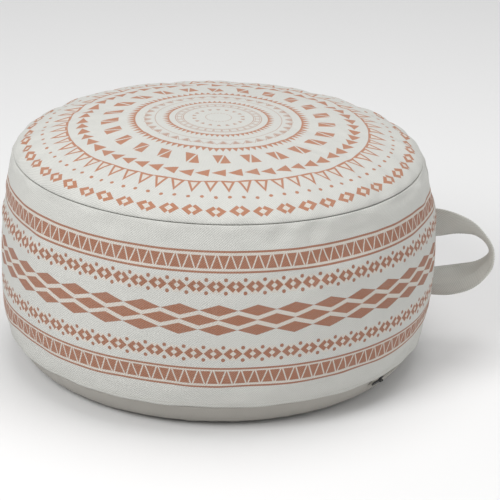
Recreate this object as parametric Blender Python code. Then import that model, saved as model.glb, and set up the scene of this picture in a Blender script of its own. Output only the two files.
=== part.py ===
"""Round inflatable floor cushion: a zipped canvas cover with a carry strap over a PVC air bladder.

Units are metres, +Z is up. The origin is on the floor, on the cushion's axis. The strap is at +X.
Every turned piece follows one outline of the cover, at its own depth under the outer face.
"""

import bisect
import math

import bmesh
import bpy
from mathutils import Matrix, Vector

# Overall form of the inflated cover
WIDEST_RADIUS = 0.265
TOP_SEAM_RADIUS = 0.2465
TOP_SEAM_HEIGHT = 0.253
BASE_SEAM_RADIUS = 0.252
BASE_SEAM_HEIGHT = 0.0345
CROWN_HEIGHT = 0.2995
FLAT_RADIUS = 0.2075

# Materials' thicknesses and the gap between neighbouring pieces
CANVAS = 0.0012
PVC = 0.0008
GAP = 0.0005
MERGE = 0.00002
TURN_STEPS = 60
BLADDER_TURN_STEPS = 40
SMALL_TURN_STEPS = 24
CROWN_STEPS = 10
SIDE_STEPS = 6
SHOULDER_STEPS = 5

# Depths under the cover's outer face
TAPE_DEPTH = CANVAS + GAP
TAPE_THICK = 0.0006
BINDING_THICK = 0.0014
PATCH_DEPTH = TAPE_DEPTH + BINDING_THICK + GAP
WELD_GAP = 0.0018
WELD_DEPTH = 0.0048
WELD_THICK = 0.0008
BLADDER_DEPTH = 0.0062

# Zip, which runs round part of the base seam
ZIP_START = -39.0
ZIP_END = 141.0
ZIP_STEP = 3.0
ZIP_HALF_GAP = 0.005
COIL_NEAR = 0.0012
COIL_FAR = 0.0026
COIL_DEPTH = 0.0001
COIL_THICK = 0.0011
TAPE_WIDTH = 0.012
SLIDER_ANGLE = -38.0
SLIDER_LENGTH = 0.009
SLIDER_HALF_WIDTH = 0.0038
SLIDER_PLATE = 0.0010
SLIDER_POST_HALF = 0.0006
PULL_LENGTH = 0.017
PULL_WIDTH = 0.0052
PULL_THICK = 0.0010
PULL_CORNER = 0.0015
BAIL_WIDTH = 0.0016
BAIL_SPAN = 0.0036
BAIL_RISE = 0.0032
BAIL_THICK = 0.0008

# Carry strap
STRAP_WIDTH = 0.037
STRAP_THICK = 0.0045
STRAP_UPPER = 0.1695
STRAP_LOWER = 0.0925
STRAP_REACH = 0.068
STRAP_ROOT = WIDEST_RADIUS + 0.0022
STRAP_STEPS = 32

# Bladder's recess, ties and valve
RECESS_RADIUS = 0.058
RECESS_MOUTH = 0.080
RECESS_CEILING = 0.055
TIE_RADIUS = 0.120
TIE_WIDTH = 0.070
TIE_COUNT = 4
TIE_RING_WIDTH = 0.016
VALVE_BORE = 0.0070
VALVE_WALL = 0.0016
VALVE_LENGTH = 0.020
VALVE_FLANGE = 0.022
PLUG_STEM = 0.0064
PLUG_CAP = 0.0125
PLUG_CAP_THICK = 0.003
PLUG_STEM_LENGTH = 0.012


def remove_old_objects():
    for old in list(bpy.data.objects):
        bpy.data.objects.remove(old, do_unlink=True)


def make_material(name, colour, roughness, metallic=0.0):
    material = bpy.data.materials.new(name)
    material.use_nodes = True
    shader = material.node_tree.nodes["Principled BSDF"]
    shader.inputs["Base Color"].default_value = (*colour, 1.0)
    shader.inputs["Roughness"].default_value = roughness
    shader.inputs["Metallic"].default_value = metallic
    return material


def bezier(start, pull_a, pull_b, end, count):
    """Points of a cubic curve in the (radius, height) plane, both ends included."""
    corners = [Vector(p) for p in (start, pull_a, pull_b, end)]
    points = []
    for i in range(count + 1):
        t = i / count
        weights = ((1 - t) ** 3, 3 * t * (1 - t) ** 2, 3 * t * t * (1 - t), t ** 3)
        points.append(sum((w * c for w, c in zip(weights, corners)), Vector((0.0, 0.0))))
    return points


class Outline:
    """A line in the (radius, height) plane, walked by the distance along it."""

    def __init__(self, points):
        self.points = points
        self.marks = [0.0]
        for a, b in zip(points, points[1:]):
            self.marks.append(self.marks[-1] + (b - a).length)
        self.length = self.marks[-1]

    def segment(self, distance):
        place = bisect.bisect_right(self.marks, distance) - 1
        return max(0, min(place, len(self.points) - 2))

    def direction(self, distance):
        i = self.segment(distance)
        return (self.points[i + 1] - self.points[i]).normalized()

    def at(self, distance, depth=0.0):
        """The point at a distance along the line, moved inwards by depth."""
        i = self.segment(distance)
        along = self.direction(distance)
        return self.points[i] + along * (distance - self.marks[i]) + inward(along) * depth

    def corner(self, i, depth):
        """The line's own point i moved inwards, so that its two stretches stay parallel."""
        before = (self.points[i] - self.points[i - 1]).normalized()
        after = (self.points[i + 1] - self.points[i]).normalized()
        middle = (before + after).normalized()
        return self.points[i] + inward(middle) * depth / middle.dot(before)

    def stretch(self, start, end, depth):
        """The line's points from start to end, all moved inwards by depth."""
        inside = [i for i in range(1, len(self.points) - 1) if start + MERGE < self.marks[i] < end - MERGE]
        corners = [self.corner(i, depth) for i in inside]
        return [self.at(start, depth)] + corners + [self.at(end - MERGE, depth)]


def inward(along):
    return Vector((along.y, -along.x))


def cover_outline():
    """The cover's outer face from the crown's middle to the middle of the base."""
    top_seam = (TOP_SEAM_RADIUS, TOP_SEAM_HEIGHT)
    base_seam = (BASE_SEAM_RADIUS, BASE_SEAM_HEIGHT)
    crown = bezier((0.0, CROWN_HEIGHT), (0.112, CROWN_HEIGHT), (0.2315, 0.2870), top_seam, CROWN_STEPS)
    side = bezier(top_seam, (0.269, 0.185), (0.2715, 0.094), base_seam, SIDE_STEPS)
    shoulder = bezier(base_seam, (0.242, 0.020), (0.234, 0.0), (FLAT_RADIUS, 0.0), SHOULDER_STEPS)
    flat = [Vector((FLAT_RADIUS, 0.0)), Vector((0.0, 0.0))]
    line = Outline(crown + side[1:] + shoulder[1:] + flat[1:])
    return line, Outline(crown).length, Outline(crown + side[1:]).length


def band_section(line, start, end, depth, thick):
    """A closed section: the outer side from start to end, then the inner side back."""
    return line.stretch(start, end, depth) + line.stretch(start, end, depth + thick)[::-1]


def turned(section, angle):
    """A section turned to an angle in degrees about the vertical axis."""
    c, s = math.cos(math.radians(angle)), math.sin(math.radians(angle))
    return [Vector((p.x * c, p.x * s, p.y)) for p in section]


def finish_object(name, bm, material, location=(0.0, 0.0, 0.0)):
    """Turns a bmesh whose points are in world space into an object placed at location."""
    bmesh.ops.remove_doubles(bm, verts=bm.verts, dist=0.00001)
    bmesh.ops.dissolve_degenerate(bm, edges=bm.edges, dist=0.00001)
    bmesh.ops.recalc_face_normals(bm, faces=bm.faces)
    bmesh.ops.translate(bm, verts=bm.verts, vec=-Vector(location))
    mesh = bpy.data.meshes.new(name)
    bm.to_mesh(mesh)
    bm.free()
    mesh.shade_smooth()
    mesh.set_sharp_from_angle(angle=math.radians(35))
    mesh.materials.append(material)
    thing = bpy.data.objects.new(name, mesh)
    thing.location = location
    bpy.context.collection.objects.link(thing)
    return thing


def loft(name, sections, closed, material, location=(0.0, 0.0, 0.0)):
    """A skin over sections of equal length, closed round, or capped at both ends."""
    bm = bmesh.new()
    rings = [[bm.verts.new(p) for p in section] for section in sections]
    pairs = list(zip(rings, rings[1:]))
    if closed:
        pairs.append((rings[-1], rings[0]))
    count = len(rings[0])
    for near, far in pairs:
        for i in range(count):
            j = (i + 1) % count
            bm.faces.new((near[i], near[j], far[j], far[i]))
    if not closed:
        bm.faces.new(rings[0])
        bm.faces.new(rings[-1])
    return finish_object(name, bm, material, location)


def full_turn(name, section, material, steps=TURN_STEPS):
    angles = [360.0 * i / steps for i in range(steps)]
    return loft(name, [turned(section, a) for a in angles], True, material)


def part_turn(name, section, start, end, steps, material):
    angles = [start + (end - start) * i / steps for i in range(steps + 1)]
    return loft(name, [turned(section, a) for a in angles], False, material)


def zip_is_at(angle):
    """Whether the base panel leaves room for the zip at this angle."""
    step = 360.0 / TURN_STEPS
    wrapped = (angle + 180.0) % 360.0 - 180.0
    return ZIP_START - step < wrapped < ZIP_END + step


def build_cover(line, top_seam, base_seam, canvas, base_canvas):
    full_turn("top_panel", band_section(line, 0.0, top_seam - GAP / 2, 0.0, CANVAS), canvas)
    side = band_section(line, top_seam + GAP / 2, base_seam - GAP / 2, 0.0, CANVAS)
    full_turn("side_band", side, canvas)
    sections = []
    for i in range(TURN_STEPS):
        angle = 360.0 * i / TURN_STEPS
        edge = 2 * ZIP_HALF_GAP if zip_is_at(angle) else GAP / 2
        sections.append(turned(band_section(line, base_seam + edge, line.length, 0.0, CANVAS), angle))
    loft("bottom_panel", sections, True, base_canvas)


def build_bindings(line, top_seam, base_seam, tape, label):
    top = band_section(line, top_seam + 0.001, top_seam + 0.011, TAPE_DEPTH, BINDING_THICK)
    full_turn("top_seam_binding", top, tape)
    base = band_section(line, base_seam - 0.011, base_seam - 0.001, TAPE_DEPTH, BINDING_THICK)
    part_turn("base_seam_binding", base, 150.0, 306.0, 26, tape)
    join = band_section(line, top_seam + 0.016, base_seam - 0.018, TAPE_DEPTH, BINDING_THICK)
    part_turn("join_seam_binding", join, -1.8, 1.8, 2, tape)
    middle = (top_seam + base_seam) / 2
    patch = band_section(line, middle - 0.050, middle + 0.070, PATCH_DEPTH, CANVAS)
    part_turn("handle_patch", patch, -5.5, 5.5, 4, tape)
    tag = band_section(line, base_seam - 0.056, base_seam - 0.006, PATCH_DEPTH, 0.0005)
    part_turn("care_label", tag, 246.0, 253.0, 2, label)


class ZipFrame:
    """Places points beside the zip: along it towards its closed end, across it, and out of the cover."""

    def __init__(self, line, base_seam):
        self.centre_mark = base_seam + ZIP_HALF_GAP
        self.centre = line.at(self.centre_mark)
        self.down = line.direction(self.centre_mark)

    def axes(self, angle):
        c, s = math.cos(math.radians(angle)), math.sin(math.radians(angle))
        across = Vector((self.down.x * c, self.down.x * s, self.down.y))
        out = Vector((-self.down.y * c, -self.down.y * s, self.down.x))
        travel = Vector((s, -c, 0.0))
        return travel, across, out

    def place(self, angle):
        c, s = math.cos(math.radians(angle)), math.sin(math.radians(angle))
        return Vector((self.centre.x * c, self.centre.x * s, self.centre.y))

    def matrix(self, angle, rise=0.0):
        travel, across, out = self.axes(angle)
        turn = Matrix((travel, across, out)).transposed().to_4x4()
        return Matrix.Translation(self.place(angle) + out * rise) @ turn


def build_zip_strips(line, zip_frame, tape, coil):
    mid = zip_frame.centre_mark
    steps = round((ZIP_END - ZIP_START) / ZIP_STEP)
    for side, sign in (("upper", -1), ("lower", 1)):
        near, far = mid + sign * COIL_NEAR, mid + sign * TAPE_WIDTH
        tape_section = band_section(line, min(near, far), max(near, far), TAPE_DEPTH, TAPE_THICK)
        part_turn("zip_tape_" + side, tape_section, ZIP_START, ZIP_END, steps, tape)
        far = mid + sign * COIL_FAR
        coil_section = band_section(line, min(near, far), max(near, far), COIL_DEPTH, COIL_THICK)
        part_turn("zip_coil_" + side, coil_section, ZIP_START, ZIP_END, steps, coil)
    stop = band_section(line, mid - COIL_FAR, mid + COIL_FAR, COIL_DEPTH, COIL_THICK)
    part_turn("zip_stop_start", stop, ZIP_START - 0.7, ZIP_START - 0.15, 1, coil)
    part_turn("zip_stop_end", stop, ZIP_END + 0.15, ZIP_END + 0.7, 1, coil)
    tab = band_section(line, mid - 0.0045, mid + 0.0045, -CANVAS - GAP / 2, CANVAS - GAP / 4)
    part_turn("zip_end_tab", tab, ZIP_START - 3.0, ZIP_START - 0.3, 2, tape)


def prism(outline, depth_low, depth_high, place):
    """A bmesh: an outline in (a, b) pulled from depth_low to depth_high, placed by a matrix."""
    bm = bmesh.new()
    low = [bm.verts.new(place(a, b, depth_low)) for a, b in outline]
    high = [bm.verts.new(place(a, b, depth_high)) for a, b in outline]
    bm.faces.new(low)
    bm.faces.new(high)
    for i in range(len(outline)):
        j = (i + 1) % len(outline)
        bm.faces.new((low[i], low[j], high[j], high[i]))
    return bm


def union(base, extra):
    """Joins extra into base with a Boolean and removes extra."""
    cut = base.modifiers.new("join", "BOOLEAN")
    cut.operation = "UNION"
    cut.solver = "EXACT"
    cut.object = extra
    bpy.context.view_layer.update()
    graph = bpy.context.evaluated_depsgraph_get()
    joined = bpy.data.meshes.new_from_object(base.evaluated_get(graph))
    base.modifiers.remove(cut)
    base.data = joined
    bpy.data.objects.remove(extra, do_unlink=True)


def build_slider(zip_frame, metal):
    """An I-shaped slider round both coils, with an arched bail on its outer plate."""
    frame = zip_frame.matrix(SLIDER_ANGLE)
    top_low = GAP
    top_high = top_low + SLIDER_PLATE
    base_high = -(TAPE_DEPTH + TAPE_THICK + GAP)
    base_low = base_high - SLIDER_PLATE
    w, p = SLIDER_HALF_WIDTH, SLIDER_POST_HALF
    outline = [(-w, base_low), (w, base_low), (w, base_high), (p, base_high), (p, top_low), (w, top_low),
               (w, top_high), (-w, top_high), (-w, top_low), (-p, top_low), (-p, base_high), (-w, base_high)]
    half = SLIDER_LENGTH / 2
    body = prism(outline, -half, half, lambda a, b, d: frame @ Vector((d, a, b)))
    slider = finish_object("zip_slider", body, metal, zip_frame.place(SLIDER_ANGLE))
    inner, outer = BAIL_SPAN / 2, BAIL_SPAN / 2 + BAIL_THICK
    foot, roof = top_high - 0.0003, top_high + BAIL_RISE
    arch = [(-outer, foot), (-inner, foot), (-inner, roof - BAIL_THICK), (inner, roof - BAIL_THICK),
            (inner, foot), (outer, foot), (outer, roof), (-outer, roof)]
    bail = prism(arch, -BAIL_WIDTH / 2, BAIL_WIDTH / 2, lambda a, b, d: frame @ Vector((a, d, b)))
    union(slider, finish_object("bail", bail, metal, zip_frame.place(SLIDER_ANGLE)))
    return top_high + (BAIL_RISE - BAIL_THICK) / 2


def build_pull(zip_frame, rise, metal):
    """A flat pull whose eye goes round the bail's arch; its origin is on the swing axis."""
    frame = zip_frame.matrix(SLIDER_ANGLE, rise)
    half = PULL_WIDTH / 2
    eye = BAIL_WIDTH / 2 + GAP
    bar = PULL_THICK / 2
    window_end = BAIL_SPAN / 2 + BAIL_THICK + 2 * GAP
    tip = PULL_LENGTH - PULL_CORNER
    plate = [(-bar, half), (-bar, -half), (tip, -half), (PULL_LENGTH, PULL_CORNER - half),
             (PULL_LENGTH, half - PULL_CORNER), (tip, half)]
    window = [(bar, eye), (bar, -eye), (window_end, -eye), (window_end, eye)]
    bm = bmesh.new()
    faces = {}
    for level in (-bar, bar):
        ring = [bm.verts.new(frame @ Vector((a, b, level))) for a, b in plate]
        hole = [bm.verts.new(frame @ Vector((a, b, level))) for a, b in window]
        faces[level] = (ring, hole)
        edges = [bm.edges.new((a, b)) for loop in (ring, hole) for a, b in zip(loop, loop[1:] + loop[:1])]
        bmesh.ops.triangle_fill(bm, edges=edges, use_beauty=True)
    for k in (0, 1):
        low, high = faces[-bar][k], faces[bar][k]
        for i in range(len(low)):
            j = (i + 1) % len(low)
            bm.faces.new((low[i], low[j], high[j], high[i]))
    finish_object("zip_pull", bm, metal, frame.translation)


def strap_frame(step):
    """The strap's middle line and width direction at a step from 0 to 1.

    The strap leaves the seam edge-on, turns face-up at the far end and comes back edge-on.
    """
    turn = math.pi * step
    height = (STRAP_UPPER + STRAP_LOWER) / 2 + (STRAP_UPPER - STRAP_LOWER) / 2 * math.cos(turn)
    reach = STRAP_REACH * math.sin(turn) ** 0.7
    centre = Vector((STRAP_ROOT + reach, 0.0, height))
    width = Vector((0.0, -math.sin(turn), math.cos(turn)))
    return centre, width


def build_strap(canvas):
    centres = []
    widths = []
    for i in range(STRAP_STEPS + 1):
        centre, width = strap_frame(0.5 - 0.5 * math.cos(math.pi * i / STRAP_STEPS))
        centres.append(centre)
        widths.append(width)
    sections = []
    for i, centre in enumerate(centres):
        ahead = centres[min(i + 1, STRAP_STEPS)] - centres[max(i - 1, 0)]
        along = Vector((1.0, 0.0, 0.0)) if i == 0 else ahead.normalized()
        along = Vector((-1.0, 0.0, 0.0)) if i == STRAP_STEPS else along
        across = (widths[i] - along * widths[i].dot(along)).normalized()
        face = along.cross(across)
        w, t = across * STRAP_WIDTH / 2, face * STRAP_THICK / 2
        sections.append([centre - w - t, centre + w - t, centre + w + t, centre - w + t])
    hinge = (STRAP_ROOT, 0.0, (STRAP_UPPER + STRAP_LOWER) / 2)
    loft("handle_strap", sections, False, canvas, hinge)


def bladder_base_line(line, base_seam):
    """The bladder's base from its weld to the valve, with the recess at its middle."""
    flat_height = line.at(line.length - RECESS_MOUTH, BLADDER_DEPTH).y
    run = line.stretch(base_seam + WELD_GAP, line.length - FLAT_RADIUS, BLADDER_DEPTH)
    mouth = (RECESS_MOUTH, flat_height)
    ceiling = (RECESS_RADIUS - 0.008, RECESS_CEILING)
    wall = bezier(mouth, (RECESS_RADIUS, flat_height), (RECESS_RADIUS + 0.004, RECESS_CEILING), ceiling, 6)
    return Outline(run + wall + [Vector((VALVE_BORE + VALVE_WALL + GAP, RECESS_CEILING))])


def offset_section(points, thick):
    """A closed section made from a line and its copy moved inwards by thick."""
    inner = []
    for i, point in enumerate(points):
        ahead = points[min(i + 1, len(points) - 1)] - points[max(i - 1, 0)]
        along = ahead.normalized()
        inner.append(point + Vector((along.y, -along.x)) * thick)
    return list(points) + inner[::-1]


def build_bladder(line, top_seam, base_seam, pvc):
    top = band_section(line, 0.0, top_seam - WELD_GAP, BLADDER_DEPTH, PVC)
    full_turn("bladder_top_sheet", top, pvc, BLADDER_TURN_STEPS)
    side = band_section(line, top_seam + WELD_GAP, base_seam - WELD_GAP, BLADDER_DEPTH, PVC)
    full_turn("bladder_side_wall", side, pvc, BLADDER_TURN_STEPS)
    base = bladder_base_line(line, base_seam)
    full_turn("bladder_base_sheet", offset_section(base.points, PVC), pvc, BLADDER_TURN_STEPS)
    for name, seam in (("bladder_top_weld", top_seam), ("bladder_base_weld", base_seam)):
        rim = band_section(line, seam - 0.005, seam + 0.005, WELD_DEPTH, WELD_THICK)
        full_turn(name, rim, pvc)


def build_ties(line, pvc):
    """Bands that tie the top sheet to the base sheet, with a weld ring at each end."""
    inside = BLADDER_DEPTH + PVC + GAP
    top_marks = (TIE_RADIUS - TIE_RING_WIDTH / 2, TIE_RADIUS + TIE_RING_WIDTH / 2)
    ring_top = band_section(line, top_marks[0], top_marks[1], inside, PVC)
    full_turn("tie_ring_top", ring_top, pvc, BLADDER_TURN_STEPS)
    base_marks = (line.length - top_marks[1], line.length - top_marks[0])
    ring_base = band_section(line, base_marks[0], base_marks[1], inside, PVC)
    full_turn("tie_ring_base", ring_base, pvc, BLADDER_TURN_STEPS)
    low = line.at(sum(base_marks) / 2, inside + PVC + GAP).y
    corner = line.at(top_marks[1], inside + PVC + GAP)
    high = corner.y - GAP
    for k in range(TIE_COUNT):
        angle = 45.0 + 90.0 * k
        turn = Matrix.Rotation(math.radians(angle), 4, "Z")
        half = TIE_WIDTH / 2
        outline = [(-half, low), (half, low), (half, high), (-half, high)]
        band = prism(outline, -PVC / 2, PVC / 2, lambda a, b, d: turn @ Vector((TIE_RADIUS + d, a, b)))
        foot = turn @ Vector((TIE_RADIUS, 0.0, low))
        finish_object("tie_band_%d" % (k + 1), band, pvc, foot)


def build_valve(pvc, stopper):
    ceiling = RECESS_CEILING
    outer = VALVE_BORE + VALVE_WALL
    body = [Vector(p) for p in ((outer, ceiling - 0.006), (outer, ceiling + VALVE_LENGTH - 0.006),
                                (VALVE_BORE, ceiling + VALVE_LENGTH - 0.006), (VALVE_BORE, ceiling - 0.006))]
    full_turn("valve_body", body, pvc, SMALL_TURN_STEPS)
    flange_low = ceiling - GAP - 0.0012
    flange = [Vector(p) for p in ((VALVE_FLANGE, flange_low), (VALVE_FLANGE, ceiling - GAP),
                                  (outer + GAP, ceiling - GAP), (outer + GAP, flange_low))]
    full_turn("valve_flange", flange, pvc, SMALL_TURN_STEPS)
    cap_top = ceiling - 0.006 - GAP
    cap_low = cap_top - PLUG_CAP_THICK
    stem_top = cap_top + PLUG_STEM_LENGTH
    plug = [Vector(p) for p in ((0.0, stem_top), (PLUG_STEM - 0.0012, stem_top), (PLUG_STEM, stem_top - 0.003),
                                (PLUG_STEM, cap_top), (PLUG_CAP, cap_top), (PLUG_CAP, cap_low + 0.001),
                                (PLUG_CAP - 0.001, cap_low), (0.0, cap_low))]
    full_turn("valve_plug", plug, stopper, SMALL_TURN_STEPS)
    flap_low = ceiling + VALVE_LENGTH - 0.006 + GAP
    flap = [(outer * math.cos(a), outer * math.sin(a)) for a in (math.tau * i / 24 for i in range(24))]
    disc = prism(flap, flap_low, flap_low + 0.0008, lambda a, b, d: Vector((a, b, d)))
    finish_object("valve_flap", disc, stopper, (-outer, 0.0, flap_low))


def build_all():
    remove_old_objects()
    canvas = make_material("printed_canvas", (0.58, 0.56, 0.51), 0.9)
    base_canvas = make_material("plain_canvas", (0.42, 0.40, 0.36), 0.9)
    tape = make_material("woven_tape", (0.50, 0.48, 0.43), 0.85)
    label = make_material("satin_label", (0.85, 0.85, 0.83), 0.5)
    coil = make_material("nylon_coil", (0.45, 0.43, 0.38), 0.5)
    black_metal = make_material("black_lacquer", (0.02, 0.02, 0.02), 0.4, 0.2)
    pvc = make_material("grey_pvc", (0.35, 0.37, 0.40), 0.45)
    stopper = make_material("clear_soft_pvc", (0.60, 0.63, 0.65), 0.3)
    line, top_seam, base_seam = cover_outline()
    zip_frame = ZipFrame(line, base_seam)
    build_cover(line, top_seam, base_seam, canvas, base_canvas)
    build_bindings(line, top_seam, base_seam, tape, label)
    build_zip_strips(line, zip_frame, tape, coil)
    pull_rise = build_slider(zip_frame, black_metal)
    build_pull(zip_frame, pull_rise, black_metal)
    build_strap(canvas)
    build_bladder(line, top_seam, base_seam, pvc)
    build_ties(line, pvc)
    build_valve(pvc, stopper)


build_all()
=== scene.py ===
"""Round inflatable floor cushion, dressed over its CAD frame: printed canvas cover, zip and carry strap.

Units are metres and +Z is up. The front of the cushion is -Y and the carry strap is at +X.
Angles round the cushion are in degrees from the front, growing towards the strap.
"""
import math

import bpy
import numpy as np
from mathutils import Matrix, Vector


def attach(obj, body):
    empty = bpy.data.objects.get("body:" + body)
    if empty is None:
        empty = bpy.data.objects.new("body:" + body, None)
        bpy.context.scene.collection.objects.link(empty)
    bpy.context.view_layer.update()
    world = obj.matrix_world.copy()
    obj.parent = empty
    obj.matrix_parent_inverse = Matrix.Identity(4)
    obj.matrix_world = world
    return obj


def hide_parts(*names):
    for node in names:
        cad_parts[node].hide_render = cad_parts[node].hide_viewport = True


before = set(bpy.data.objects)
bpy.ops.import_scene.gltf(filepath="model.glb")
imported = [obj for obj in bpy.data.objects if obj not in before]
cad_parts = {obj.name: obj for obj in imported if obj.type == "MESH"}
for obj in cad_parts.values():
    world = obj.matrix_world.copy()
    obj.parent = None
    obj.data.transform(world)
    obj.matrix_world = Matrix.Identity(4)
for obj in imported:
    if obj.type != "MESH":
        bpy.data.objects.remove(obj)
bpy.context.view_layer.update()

# The cover's outer face, as curves in the (radius, height) plane
CROWN = ((0.0, 0.2996), (0.1055, 0.2996), (0.2282, 0.2860), (0.2462, 0.2536))
WALL = ((0.2462, 0.2536), (0.2690, 0.1850), (0.2715, 0.0940), (0.2520, 0.0345))
SHOULDER = ((0.2520, 0.0345), (0.2420, 0.0200), (0.2340, 0.0), (0.2100, 0.0))

# How finely the cover is meshed
SPOKES = 420
CROWN_RINGS = 88
WALL_RINGS = 84
BASE_RINGS = 52

CANVAS = 0.0012
WIDEST = 0.265
PRINT_MIDDLE = (-0.0007, -0.0061)
ZIP_FROM = 51.0
ZIP_TO = 231.0
ZIP_OPENING = 0.010
STRAP_ANGLE = 90.0

# The zip's middle line in the (radius, height) plane, the way down across it and the way out of it
ZIP_CENTRE = np.array((0.24928, 0.03030))
ZIP_DOWN = np.array((-0.5432, -0.8396))
ZIP_OUT = np.array((0.8396, -0.5432))

# Soft folds under the top seam: angle, half width, depth, how far down they reach
FOLDS = (
    (-27.0, 2.6, 0.0016, 0.045),
    (-21.5, 1.8, -0.0010, 0.040),
    (17.0, 2.2, 0.0012, 0.040),
    (21.5, 1.8, -0.0014, 0.045),
    (27.0, 1.6, 0.0018, 0.050),
    (31.5, 1.5, -0.0012, 0.045),
    (72.0, 4.0, -0.0030, 0.060),
    (81.0, 3.0, 0.0014, 0.050),
    (-80.0, 4.0, 0.0014, 0.040),
    (128.0, 2.5, 0.0014, 0.045),
    (166.0, 2.0, 0.0015, 0.040),
    (201.0, 2.4, 0.0015, 0.050),
    (243.0, 2.0, 0.0014, 0.040),
)
DEEPEST_FOLD = 0.0016

# How far the inflated cloth's own unevenness may go in and out
SWELL_IN = 0.0012
SWELL_OUT = 0.0040

# The small shapes of the print, as a pitch in degrees round the band
TRIANGLE_PITCH = 3.465
CHAIN_PITCH = 4.835
LONG_PITCH = 9.56
ARC_PER_DEGREE = 0.004625


# ---------------------------------------------------------------- outline of the cover

def curve(points, count=120):
    """Points of a cubic curve given by its two ends and its two pulls."""
    p = np.array(points)
    t = np.linspace(0.0, 1.0, count + 1)[:, None]
    return (1 - t) ** 3 * p[0] + 3 * t * (1 - t) ** 2 * p[1] + 3 * t * t * (1 - t) * p[2] + t ** 3 * p[3]


def measured(points):
    """Distances along a line of points."""
    steps = np.linalg.norm(np.diff(points, axis=0), axis=1)
    return np.concatenate([[0.0], np.cumsum(steps)])


def cover_line():
    flat = np.array([SHOULDER[3], (0.0, 0.0)])
    parts = [curve(CROWN), curve(WALL)[1:], curve(SHOULDER)[1:], flat[1:]]
    line = np.vstack(parts)
    marks = measured(line)
    return line, marks, marks[120], marks[240]


LINE, MARKS, TOP_SEAM, BASE_SEAM = cover_line()
LENGTH = MARKS[-1]


def on_line(distance):
    return np.stack([np.interp(distance, MARKS, LINE[:, 0]), np.interp(distance, MARKS, LINE[:, 1])], -1)


def out_of_line(distance):
    """The direction out of the cover, in the (radius, height) plane."""
    ahead = on_line(np.minimum(distance + 0.002, LENGTH))
    behind = on_line(np.maximum(distance - 0.002, 0.0))
    along = ahead - behind
    along /= np.linalg.norm(along, axis=-1, keepdims=True)
    return np.stack([-along[..., 1], along[..., 0]], -1)


def spoke_angles(count):
    """Angles from one side of the band's join round to its other side."""
    return STRAP_ANGLE - 360.0 + 360.0 * np.arange(count + 1) / count


def near(angle, middle, width):
    """1 at an angle, falling smoothly to 0 about a width away on either side."""
    gap = (angle - middle + 180.0) % 360.0 - 180.0
    return np.exp(-(gap / width) ** 2)


def smooth(value, low, high):
    t = np.clip((value - low) / (high - low), 0.0, 1.0)
    return t * t * (3 - 2 * t)


def wander(angle, seed, waves):
    """A repeatable uneven ripple round the cushion, between about -1 and 1."""
    rng = np.random.default_rng(seed)
    total = np.zeros_like(angle)
    for wave in waves:
        total += math.sqrt(1.0 / len(waves)) * np.sin(np.radians(angle) * wave + rng.uniform(0, 6.28))
    return total


# ---------------------------------------------------------------- the cover's form

def round_about(flat, angle):
    """Places or ways in the (radius, height) plane, turned round the cushion's axis."""
    turn = np.radians(angle)
    return np.stack([flat[..., 0] * np.sin(turn), -flat[..., 0] * np.cos(turn), flat[..., 1]], -1)


def puckers(above, below, angle):
    """Small gathers on both sides of the top seam, and the soft folds under it."""
    out = np.zeros_like(angle)
    pucker = wander(angle, 3, (23, 31, 37, 44)) * 0.0006 + wander(angle, 4, (9, 13, 17)) * 0.0007
    out += pucker * smooth(below, 0.0, 0.010) * (1 - smooth(below, 0.020, 0.075)) * (below > 0)
    rim = wander(angle, 5, (19, 27, 35)) * 0.0004
    out += rim * smooth(above, 0.0, 0.008) * (1 - smooth(above, 0.015, 0.050)) * (above > 0)
    for middle, width, depth, reach in FOLDS:
        fold = near(angle + below * 60.0, middle, width) * smooth(below, 0.0, 0.010)
        out -= depth * fold * (1 - smooth(below, reach * 0.4, reach)) * (below > 0)
    return np.maximum(out, -DEEPEST_FOLD)


def relief(distance, angle):
    """How far the cloth stands out of the smooth outline: puckers, the sunken join, hem and dents."""
    below = distance - TOP_SEAM
    over_base = BASE_SEAM - distance
    out = puckers(TOP_SEAM - distance, below, angle)
    join = near(angle, STRAP_ANGLE, 0.35) * smooth(below, 0.004, 0.012) * (over_base > 0.0)
    out -= 0.0008 * join
    hem = wander(angle, 7, (7, 11, 16, 29)) * 0.0007
    out += hem * (1 - smooth(over_base, 0.0, 0.045)) * (over_base > -0.002)
    low_dent = smooth(over_base, 0.004, 0.016) * (1 - smooth(over_base, 0.03, 0.06))
    out -= 0.0034 * near(angle, 66.0, 10.0) * low_dent
    height = np.clip(over_base / (BASE_SEAM - TOP_SEAM), 0.0, 1.0)
    out -= 0.0034 * near(angle, -98.0, 42.0) * smooth(height, 0.12, 0.40) * (1 - smooth(height, 0.72, 0.98))
    out -= 0.0016 * near(angle, 150.0, 30.0) * smooth(height, 0.30, 0.60) * (1 - smooth(height, 0.80, 1.0))
    return out


def settled(places):
    """The whole cushion leans very slightly, as a thing that has been sat on does."""
    rise = places[..., 2] / 0.25
    lifted = places.copy()
    lifted[..., 2] -= 0.0020 * places[..., 0] / 0.25 * rise
    lifted[..., 2] -= 0.0028 * places[..., 1] / 0.25 * rise
    return lifted


def cover_places(distance, angle, depth=0.0):
    """Places on the cover for distances along its outline and angles round it."""
    flat = on_line(distance) + out_of_line(distance) * (relief(distance, angle) - depth)[..., None]
    return settled(round_about(flat, angle))


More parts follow.
